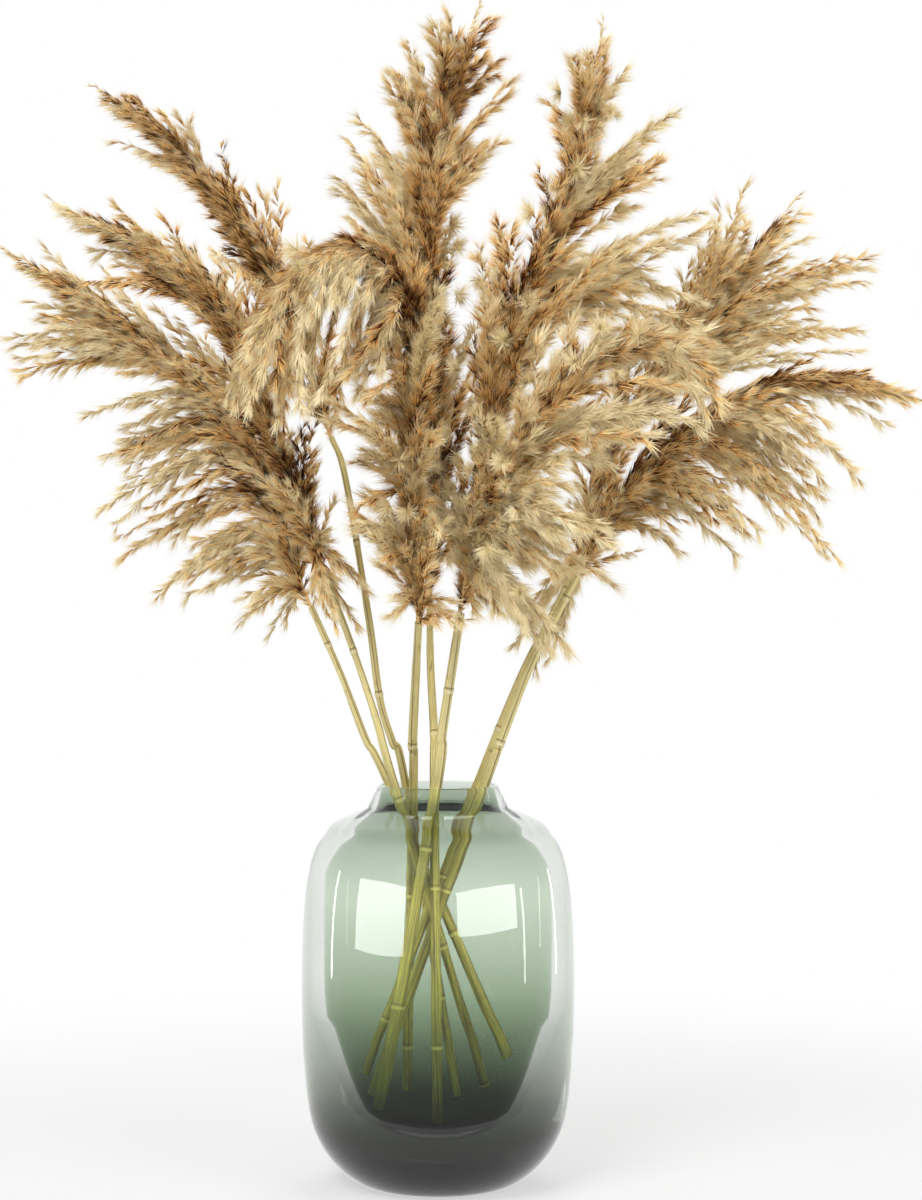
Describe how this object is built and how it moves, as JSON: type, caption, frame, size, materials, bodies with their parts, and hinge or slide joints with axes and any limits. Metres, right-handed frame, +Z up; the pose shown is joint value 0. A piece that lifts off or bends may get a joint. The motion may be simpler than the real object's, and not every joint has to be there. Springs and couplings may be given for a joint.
{
  "type": "vase of dried grass plumes",
  "caption": "Thick-walled glass vase with a narrow neck, holding jointed dried reed stems with feathery tan plumes that fan out above the rim.",
  "frame": {"origin": "centre of the vase's flat foot", "axes": "+Z up along the vase's axis; the arrangement's front faces -Y"},
  "size_m": [0.6939, 0.3071, 0.9104],
  "materials": {
    "green_glass": "polished, smoked green",
    "straw_stem": "dry, satin, with pale rings",
    "tan_fluff": "silky dry fluff"
  },
  "bodies": {
    "root": {"vase": "green_glass", "stem_left_low": "straw_stem", "stem_left_middle": "straw_stem", "stem_left_high": "straw_stem", "stem_nodding": "straw_stem", "stem_tall": "straw_stem", "stem_forked": "straw_stem", "stem_right_high": "straw_stem", "stem_right_low": "straw_stem", "plume_left_low": "tan_fluff", "plume_left_middle": "tan_fluff", "plume_left_high": "tan_fluff", "plume_nodding": "tan_fluff", "plume_tall": "tan_fluff", "plume_forked_upright": "tan_fluff", "plume_forked_drooping": "tan_fluff", "plume_right_high": "tan_fluff", "plume_right_low": "tan_fluff"}
  },
  "joints": []
}
